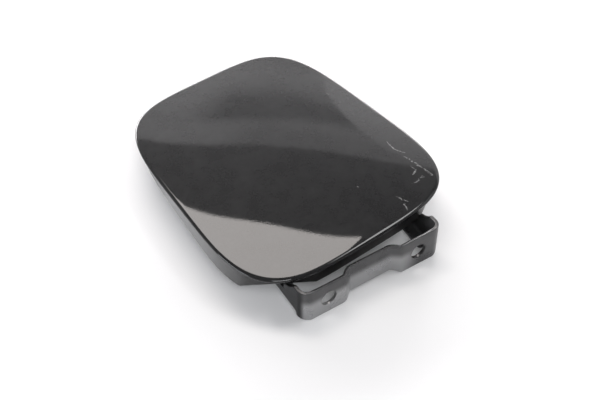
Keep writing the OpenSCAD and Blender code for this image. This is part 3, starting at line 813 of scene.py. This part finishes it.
def mottled(name, light, dark, rough, patch, grain, depth, metallic=0.0, specular=0.5):
    """A material whose colour and gloss drift in patches, with a fine grain in relief."""
    made, tree, surface = material(name)
    set_inputs(surface, Metallic=metallic, Specular_IOR_Level=specular)
    spots = node(tree, "ShaderNodeGroup", node_tree=mottle)
    set_inputs(spots, Patch_Size=patch, Grain_Size=grain)
    patches = spots.outputs["Patches"]
    feed(tree, surface.inputs["Base Color"], mix_colours(tree, patches, (*dark, 1), (*light, 1)))
    feed(tree, surface.inputs["Roughness"], spread(tree, patches, 0.0, 1.0, *rough))
    relief(tree, surface.inputs["Normal"], spots.outputs["Grain"], depth)
    return made


satin = mottled("satin_black_coat", (0.115, 0.115, 0.117), (0.08, 0.08, 0.082), (0.24, 0.34),
                0.012, 0.0009, 1.2e-5, metallic=0.75)
# the same coat, with painted light turning the web's lower part lighter grey and painted
# shade turning the left arm's outer side deep black; each mask's two places in millimetres
painted_light_grey, painted_shade_black = (0.38, 0.38, 0.385, 1), (0.03, 0.03, 0.031, 1)
lit_band_z, lit_band_x, shaded_side_x = (5.0, -0.5), (30.0, 16.0), (-41.5, -43.3)
lit_and_shaded_coat = satin.copy()
lit_and_shaded_coat.name = "lit_and_shaded_black_coat"
tree = lit_and_shaded_coat.node_tree
surface = tree.nodes["Principled BSDF"]
parts = node(tree, "ShaderNodeSeparateXYZ")
feed(tree, parts.inputs[0], node(tree, "ShaderNodeTexCoord").outputs["Object"])
lit_low_share, lit_middle_share, shaded_side_share = (
    spread(tree, parts.outputs[axis], none * MM, full * MM, smooth=True)
    for axis, (none, full) in (("Z", lit_band_z), ("X", lit_band_x), ("X", shaded_side_x)))
colour = surface.inputs["Base Color"].links[0].from_socket
# painted light on the web's lower part, then painted shade on the left arm's outer side
painted_light_share = number(tree, "MULTIPLY", lit_low_share, lit_middle_share)
colour = mix_colours(tree, painted_light_share, colour, painted_light_grey)
feed(tree, surface.inputs["Base Color"], mix_colours(tree, shaded_side_share, colour, painted_shade_black))
hinge_bracket = finished("hinge_bracket_stamping", blank, lit_and_shaded_coat)
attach(hinge_bracket, "bracket")
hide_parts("hinge_bracket")

# Hinge leaf. The door's half of the hinge: a plate spot-welded under the pan,
# with two ears bent down to the pin and a slot for the spring's coil. Same
# black coat as the bracket.
ear_gap, leaf_t, leaf_l, leaf_front, bush_wall, pin_fit = 3.0, 1.5, 25.0, 8.0, 0.8, 0.04
wire_d, coil_turns, coil_gap, coil_l = 1.1, 7, 0.4, 14.0
leaf_bend, leaf_corner_r = 2.3, 7.2
ear_x = arm_x - sheet_t - ear_gap
bush_r = pin_r + pin_fit + bush_wall
ear_r = bush_r + seat + 1.3
leaf_under_z = floor_z - leaf_t
leaf_top_z = floor_z - seat
coil_r = pin_r + coil_gap + wire_d / 2
coil_x = -ear_x + leaf_t + wire_d / 2 + 0.5
fold_x = ear_x - leaf_bend
bend_length = leaf_bend * math.pi / 2
front_y, back_y = arm_l - leaf_front, arm_l + leaf_l


def fold_leaf(points):
    """Bend both ears of the leaf's flat blank down by a right angle."""
    x, y, w = points[:, 0], points[:, 1], -points[:, 2]
    past = np.maximum(np.abs(x) - fold_x, 0)
    a = np.minimum(past, bend_length) / leaf_bend
    straight = np.maximum(past - bend_length, 0)
    r = leaf_bend - w
    out_x = np.where(past > 0, fold_x + r * np.sin(a), np.abs(x))
    drop = np.where(past > 0, leaf_bend - r * np.cos(a) + straight, w)
    return np.stack([np.sign(x) * out_x, y, leaf_top_z - drop], -1) * MM


ear_mid = fold_x + bend_length + (leaf_top_z - leaf_bend - pin_z)
half_leaf = [(0, front_y), (fold_x - 0.5, front_y), (fold_x + 1.0, front_y + 1.5)]
half_leaf += arc_points(ear_mid, arm_l, ear_r, -115, 115, 24)
half_leaf += [(fold_x + 1.5, arm_l + ear_r + 2.5), (fold_x - 0.3, arm_l + ear_r + 3.5)]
half_leaf += arc_points(fold_x - 7.5, back_y - 8, leaf_corner_r, 0, 90, 10) + [(0, back_y)]
slot_x0, slot_x1 = coil_x - wire_d / 2 - 0.3, coil_x + coil_l + wire_d / 2 + 0.7
slot_end = arm_l + coil_r + wire_d
ring = half_leaf + [(-x, y) for x, y in half_leaf[::-1] if x > 0 and y > front_y + 0.5]
ring += [(slot_x0, front_y + 1), (slot_x0, slot_end), (slot_x1, slot_end), (slot_x1, front_y)]
leaf_holes = [arc_points(x * ear_mid, arm_l, bush_r + 0.02, 0, 360, 32)[:-1] for x in (-1, 1)]
leaf_holes.append(arc_points(0, arm_l + leaf_l * 0.64, leaf_l * 0.2, 0, 360, 40)[:-1])
leaf_cuts = [x * (fold_x + bend_length * i / 6) for x in (-1, 1) for i in range(7)]
leaf_mesh = plate("leaf_blank", [ring] + leaf_holes, leaf_t, 0.2, [(0, leaf_cuts)])
flat = np.array([v.co for v in leaf_mesh.vertices])
flat[:, 2] -= leaf_t / 2
leaf_mesh.vertices.foreach_set("co", fold_leaf(flat).ravel())
hinge_leaf = finished("hinge_leaf_plate", leaf_mesh, satin)
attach(hinge_leaf, "door")
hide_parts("hinge_leaf")

# Hinge pin, ring and bushes. A headed steel pin through both arms, zinc
# plated, is held by a spring ring in a groove. The leaf's ears turn on it in
# two shouldered bushes of black plastic.
head_r, head_t, ring_x, groove_r, groove_w = 3.5, 1.4, arm_x + 0.4, pin_r - 0.5, 0.9
ring_in, ring_out, ring_t, mouth_w = pin_r - 0.48, pin_r + 1.7, 0.7, 2.4
shoulder = ear_gap - 0.3


def recalculate(piece, gap=None):
    """Turn a mesh's faces outwards, after closing it at points nearer than a gap."""
    work = bmesh.new()
    work.from_mesh(piece.data)
    if gap:
        bmesh.ops.remove_doubles(work, verts=work.verts, dist=gap)
    bmesh.ops.recalc_face_normals(work, faces=work.faces)
    work.to_mesh(piece.data)
    work.free()


def lathe(name, profiles, places, finish, steps=40):
    """Turned pieces in one mesh: each profile of (radius, height) goes round its own axis."""
    turned = Sheet()
    a = np.arange(steps) * 2 * math.pi / steps
    for profile, place_of in zip(profiles, places):
        rings = [turned.ring(place_of(r * np.cos(a), r * np.sin(a), h + 0 * a))
                 for r, h in profile]
        for one, two in zip(rings, rings[1:]):
            turned.join(two, one)
    piece = turned.build(name, finish)
    recalculate(piece, 1e-7)
    piece.data.shade_smooth()
    piece.data.set_sharp_from_angle(angle=math.radians(fold_angle))
    return piece


def about_pin(direction):
    """Axis along the hinge pin, heights measured from the middle of the door's hinge."""
    def to_row(a, b, h):
        return np.stack([direction * h, arm_l + a, pin_z + b], -1) * MM
    return to_row


def round_corner(r, h, size, steps=4):
    """Points that round off the outer corner at a profile's start."""
    angles = [math.pi / 2 * i / steps for i in range(steps + 1)]
    return [(r - size + size * math.sin(a), h + size * (1 - math.cos(a))) for a in angles]


zinc = mottled("zinc_plate", (0.62, 0.62, 0.60), (0.50, 0.50, 0.49), (0.24, 0.38),
               0.004, 0.0006, 6e-6, metallic=1.0)
head_end, tip_x = -arm_x - seat - head_t, arm_x + 2.6
pin_profile = [(0, head_end)] + round_corner(head_r, head_end, 0.5)
pin_profile += [(head_r, -arm_x - seat), (pin_r, -arm_x - seat), (pin_r, ring_x),
                (groove_r, ring_x), (groove_r, ring_x + groove_w), (pin_r, ring_x + groove_w),
                (pin_r, tip_x - 0.4), (pin_r - 0.4, tip_x), (0, tip_x)]
hinge_pin = lathe("hinge_pin_steel", [pin_profile], [about_pin(1)], zinc)
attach(hinge_pin, "bracket")
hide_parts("hinge_pin")

mouth = math.degrees(math.asin(mouth_w / 2 / ring_out))
clip_outline = arc_points(0, 0, ring_out, -90 + mouth, 270 - mouth, 36)
clip_outline += arc_points(0, 0, ring_in, 270 - 50, -90 + 50, 24)
clip_mesh = plate("clip_blank", [clip_outline], ring_t, 0.12, [])
flat = np.array([v.co for v in clip_mesh.vertices])
clip = np.stack([ring_x + 0.1 + ring_t / 2 + flat[:, 2], arm_l - flat[:, 0],
                 pin_z + flat[:, 1]], -1) * MM
clip_mesh.vertices.foreach_set("co", clip.ravel())
clip_mesh.flip_normals()
pin_clip = finished("pin_spring_ring", clip_mesh, zinc)
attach(pin_clip, "bracket")
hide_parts("pin_ring")

plastic = mottled("bush_plastic", (0.075, 0.075, 0.075), (0.05, 0.05, 0.05), (0.45, 0.6),
                  0.003, 0.0005, 5e-6)
bush_bore, bush_in, bush_out = pin_r + pin_fit, ear_x - leaf_t - 0.4, ear_x + seat + shoulder
bush_profile = [(bush_bore, bush_in), (bush_r - 0.15, bush_in), (bush_r, bush_in + 0.2),
                (bush_r, ear_x + seat), (bush_r + 0.8, ear_x + seat), (bush_r + 1, ear_x + 0.2),
                (bush_r + 1, bush_out - 0.3), (bush_r + 0.7, bush_out),
                (bush_bore, bush_out), (bush_bore, bush_in)]
bushes = lathe("hinge_bushes", [bush_profile] * 2, [about_pin(1), about_pin(-1)], plastic)
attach(bushes, "door")
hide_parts("pivot_bushes")

# Return spring. Oiled spring wire wound round the pin beside the left ear: one
# leg bears on the bracket's lip, the other under the leaf, so the coil winds
# as the door shuts.
turn_steps, leg_steps, wire_sides = 28, 10, 14


def tube(name, line, radius, finish, sides):
    """A round wire along a line of points, closed at both ends."""
    line = np.array(line, float)
    ahead = np.gradient(line, axis=0)
    ahead /= np.linalg.norm(ahead, axis=1)[:, None]
    across = np.cross(ahead[0], (0.3, 0.5, 0.8))
    a = np.arange(sides) * 2 * math.pi / sides
    # a rounded end, as shares of the radius outwards and inwards from the wire's end
    end_rings = [(0.02, 0.0), (0.75, 0.0), (1.0, 0.25)]
    wire = Sheet()
    rings = []
    for i, point in enumerate(line):
        across = across - ahead[i] * np.dot(across, ahead[i])
        across /= np.linalg.norm(across)
        other = np.cross(ahead[i], across)
        circle = np.cos(a)[:, None] * across + np.sin(a)[:, None] * other
        steps = [(1.0, 0.0)]
        if i == 0:
            steps = end_rings
        elif i == len(line) - 1:
            steps = [(share, -inward) for share, inward in end_rings[::-1]]
        for share, inward in steps:
            shift = circle * radius * share + ahead[i] * radius * inward
            rings.append(wire.ring((point + shift) * MM))
    for one, two in zip(rings, rings[1:]):
        wire.join(two, one)
    wire.faces.append(tuple(rings[0][::-1]))
    wire.faces.append(tuple(rings[-1]))
    piece = wire.build(name, finish)
    recalculate(piece)
    return piece


lip_rise = (lip_end_z - lip_start_z) / (arm_l - 3 * arm_end_r - bend_r - 1)
lip_rest = (sheet_t + wire_d / 2) / math.cos(math.atan(lip_rise))
foot_y, foot_z = arm_l - 3 * arm_end_r - 2, lip_end_z - 2 * lip_rise + lip_rest + seat
coil_top, rest_z = pin_z + coil_r, leaf_under_z - wire_d / 2 - seat
end_x, start_y, leg_y = coil_x + coil_l, arm_l + coil_r + wire_d, arm_l + leaf_l * 0.5
wire_line = [(coil_x, foot_y + (arm_l - foot_y) * i / leg_steps,
              foot_z + (coil_top - foot_z) * i / leg_steps) for i in range(leg_steps)]
for i in range(coil_turns * turn_steps + 1):
    a = math.pi / 2 - i * 2 * math.pi / turn_steps
    wire_line.append((coil_x + coil_l * i / (coil_turns * turn_steps),
                      arm_l + coil_r * math.cos(a), pin_z + coil_r * math.sin(a)))
wire_line += [(end_x, arm_l + (start_y - arm_l) * i / 4, coil_top + (rest_z - coil_top) * i / 4)
              for i in range(1, 4)]
wire_line += [(end_x, start_y + (leg_y - start_y) * i / 6, rest_z) for i in range(7)]
spring_wire = mottled("spring_wire", (0.42, 0.42, 0.43), (0.30, 0.30, 0.31), (0.26, 0.4),
                      0.003, 0.0005, 5e-6, metallic=1.0)
spring = tube("return_spring_wire", wire_line, wire_d / 2, spring_wire, wire_sides)
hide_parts("return_spring")
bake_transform(spring)

# Striker. The lock's catch at the far end: a coated steel strap riveted under
# the pan, and a loop of thick plated wire whose legs pass through it.
striker_y, striker_w, striker_d, strap_t, strap_l = 152.0, 14.0, 4.0, 1.5, 15.0
loop_bend, loop_sides, rivet_r = striker_d * 0.8, 28, 1.6
striker_x = (striker_w + striker_d) / 2
rivet_x = striker_x + striker_d / 2 + 3 * rivet_r
strap_under_z = floor_z - strap_t
corner = strap_l / 3
strap_ring = []
for cx, cy, start in ((1, 1, 0), (-1, 1, 90), (-1, -1, 180), (1, -1, 270)):
    strap_ring += arc_points(cx * rivet_x, cy * (strap_l / 2 - corner), corner,
                             start, start + 90, 8)
strap_mesh = plate("strap_blank", [strap_ring], strap_t - seat, 0.25, [])
flat = np.array([v.co for v in strap_mesh.vertices])
flat += (0, striker_y, strap_under_z + (strap_t - seat) / 2)
strap_mesh.vertices.foreach_set("co", (flat * MM).ravel())
strap = finished("striker_strap", strap_mesh, satin)
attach(strap, "door")
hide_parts("striker_plate")

loop_top, bar_z = floor_z - seat, bottom_z + striker_d / 2
bend_x, bend_z = striker_x - loop_bend, bar_z + loop_bend
half_loop = [(striker_x, striker_y, loop_top - (loop_top - bend_z) * i / 4) for i in range(4)]
half_loop += [(x, striker_y, z) for x, z in arc_points(bend_x, bend_z, loop_bend, 0, -90, 8)]
whole_loop = half_loop + [(-x, y, z) for x, y, z in half_loop[::-1]]
loop = tube("striker_wire_loop", whole_loop, striker_d / 2, zinc, loop_sides)
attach(loop, "door")
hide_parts("striker_loop")


def upright(x, y):
    """Axis along Z over a place given in row millimetres."""
    def to_row(a, b, h):
        return np.stack([x + a, y + b, h], -1) * MM
    return to_row


under_head = strap_under_z - seat
over_head = floor_z + panel_t + seat
rivet_profile = [(r, under_head - down) for r, down in (
    (0, 1.2), (0.9, 1.15), (1.9, 0.95), (2.7, 0.55), (3.2, 0.12), (3.15, 0), (rivet_r, 0))]
rivet_profile += [(r, over_head + up) for r, up in (
    (rivet_r, 0), (2.85, 0), (2.9, 0.15), (2.4, 0.6), (1.2, 0.95), (0, 1.0))]
rivet_places = [upright(x * rivet_x, striker_y) for x in (-1, 1)]
rivets = lathe("striker_rivet_pair", [rivet_profile] * 2, rivet_places, zinc)
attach(rivets, "door")
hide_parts("striker_rivets")

# Rubber buffers. Soft black studs pushed into the pan beside the striker. The
# shut door rests on them, so their noses are rounded and slightly dusty.
buffer_d, buffer_h, buffer_span, neck_r, buffer_back = 12.0, 6.0, 84.0, 3.0, 4
low, under = floor_z - buffer_h, floor_z - seat
over = floor_z + panel_t + seat
buffer_profile = [(0, low)]
buffer_profile += [(buffer_d * 0.28 * i / 3, low + 0.02 * i * i) for i in range(1, 4)]
buffer_profile += [(r, low + up) for r, up in (
    (3.9, 0.38), (4.35, 0.72), (4.7, 1.2), (5.2, 2.2), (5.7, 3.3), (5.95, 4.2), (6.0, 4.8))]
buffer_profile += [(r, under - down) for r, down in (
    (5.95, 0.5), (5.7, 0.12), (5.4, 0), (neck_r, 0))]
buffer_profile += [(r, over + up) for r, up in (
    (neck_r, 0), (4.1, 0), (4.2, 0.2), (4.0, 0.9), (3.0, 1.9), (1.9, 2.9), (0.6, 3), (0, 3))]
rubber = mottled("buffer_rubber", (0.045, 0.045, 0.045), (0.022, 0.022, 0.022), (0.6, 0.8),
                 0.004, 0.0007, 2e-5, specular=0.35)
spots = [in_place(np.array(x * buffer_span / 2), np.array(striker_y - door_y - buffer_back), 0.0)
         / MM for x in (-1, 1)]
buffers = lathe("rubber_buffer_pair", [buffer_profile] * 2,
                [upright(spot[0], spot[1]) for spot in spots], rubber)
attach(buffers, "door")
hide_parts("rubber_buffers")

# Seam sealer and mastic. A bead of painted sealer fills the corner between hem
# and pan wall, and soft mastic dabs on the recess keep the skin from drumming.


def wall_ring(gap, z):
    """A ring just outside the pan's wall at a height."""
    low_z = floor_z + floor_r
    t = (z - low_z) / (flange_z - low_z)
    one = np.array(pan_outline(border_a, wall_inset - gap, 1))
    two = np.array(pan_outline(border_a, wall_inset - gap, 0))
    return in_place(*((1 - t) * one + t * two), z)


sealer_black = mottled("painted_sealer", (0.03, 0.03, 0.031), (0.02, 0.02, 0.021), (0.3, 0.5),
                       0.005, 0.0016, 4e-5)
bead = Sheet()
tops = [bead.ring(points) for points in (
    wall_ring(2 * seat, flange_z - seat), skin_ring(hem_w + seat, flange_z - seat),
    skin_ring(hem_w + seat, hem_z + 0.1), skin_ring(hem_w + 0.25, hem_z - 0.08),
    wall_ring(0.35, hem_z - 0.22), wall_ring(2 * seat, hem_z - 0.4))]
for one, two in zip(tops, tops[1:] + tops[:1]):
    bead.join(one, two)
sealer = bead.build("hem_sealer_bead", sealer_black)
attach(sealer, "door")
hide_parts("seam_sealer")

mastic = mottled("mastic", (0.07, 0.07, 0.068), (0.04, 0.04, 0.04), (0.7, 0.9),
                 0.005, 0.0012, 6e-5)
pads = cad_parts["mastic_pads"]
pads.data.materials.clear()
pads.data.materials.append(mastic)

# Sizes.
low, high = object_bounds()
